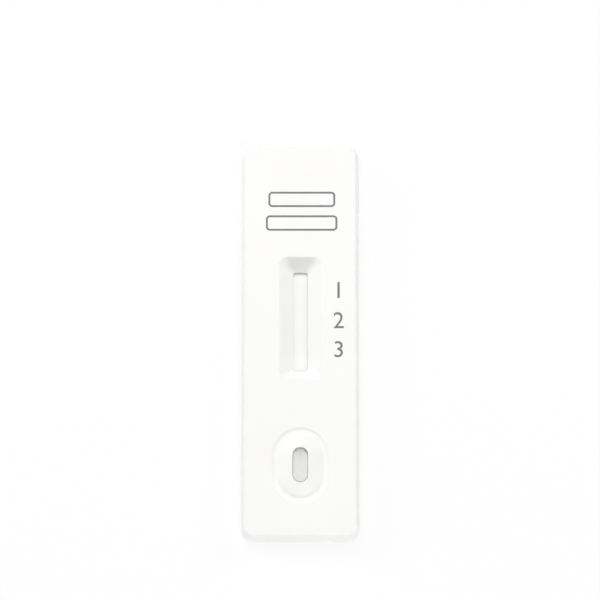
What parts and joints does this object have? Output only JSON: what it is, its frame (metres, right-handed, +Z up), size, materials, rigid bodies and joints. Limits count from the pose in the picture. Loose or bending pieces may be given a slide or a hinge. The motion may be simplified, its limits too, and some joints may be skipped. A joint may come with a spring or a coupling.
{
  "type": "lateral flow cassette",
  "caption": "Flat white two-shell test cassette with a sunk read window, a raised oval sample port and a layered paper test strip trapped inside.",
  "frame": {"origin": "middle of the underside, on the surface that the cassette lies on", "axes": "+X across the case, +Y along it towards the printed end, +Z up through the read window and the sample port"},
  "size_m": [0.0206, 0.07, 0.0051],
  "materials": {
    "shell_plastic": "fine matte moulded plastic",
    "card": "thin smooth plastic card",
    "membrane": "fine matte porous film",
    "fibre_pad": "matte fibre pad",
    "absorbent_paper": "thick matte blotting paper"
  },
  "bodies": {
    "root": {"upper_shell": "shell_plastic", "lower_shell": "shell_plastic", "backing_card": "card", "membrane": "membrane", "conjugate_pad": "fibre_pad", "sample_pad": "fibre_pad", "absorbent_pad": "absorbent_paper"}
  },
  "joints": []
}
